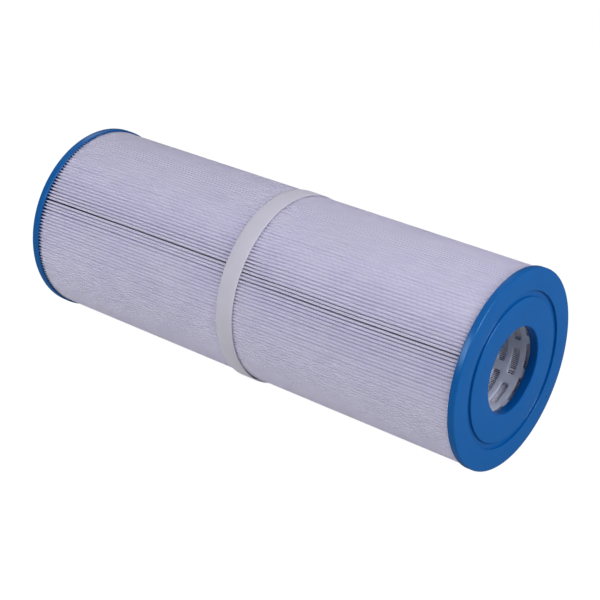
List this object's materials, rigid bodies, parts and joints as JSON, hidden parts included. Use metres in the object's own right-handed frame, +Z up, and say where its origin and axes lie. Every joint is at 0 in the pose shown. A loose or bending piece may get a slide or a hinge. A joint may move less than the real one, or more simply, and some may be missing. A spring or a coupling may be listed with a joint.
{
  "type": "pleated spa filter cartridge",
  "caption": "Open-ended cylindrical pool and spa filter cartridge: pleated fabric round a perforated core, two cast end caps with a centre hole, and a strap round the middle.",
  "frame": {"origin": "centre of the cartridge, on its axis, halfway between the outer faces of the two end caps", "axes": "+X along the cartridge's axis, out of the front end cap; +Z up as the cartridge lies on its side; the body is round, so Z is any radius"},
  "size_m": [0.338, 0.1254, 0.1254],
  "materials": {
    "cap_blue": "satin cast polyurethane",
    "filter_fabric": "matte spunbond polyester",
    "seam_adhesive": "hot-melt adhesive",
    "core_plastic": "moulded white plastic",
    "strap_fabric": "non-woven strap"
  },
  "bodies": {
    "root": {"front_end_cap": "cap_blue", "rear_end_cap": "cap_blue", "pleated_media": "filter_fabric", "media_seam_strip": "seam_adhesive", "front_core_section": "core_plastic", "middle_core_section": "core_plastic", "rear_core_section": "core_plastic", "centre_strap": "strap_fabric"}
  },
  "joints": []
}
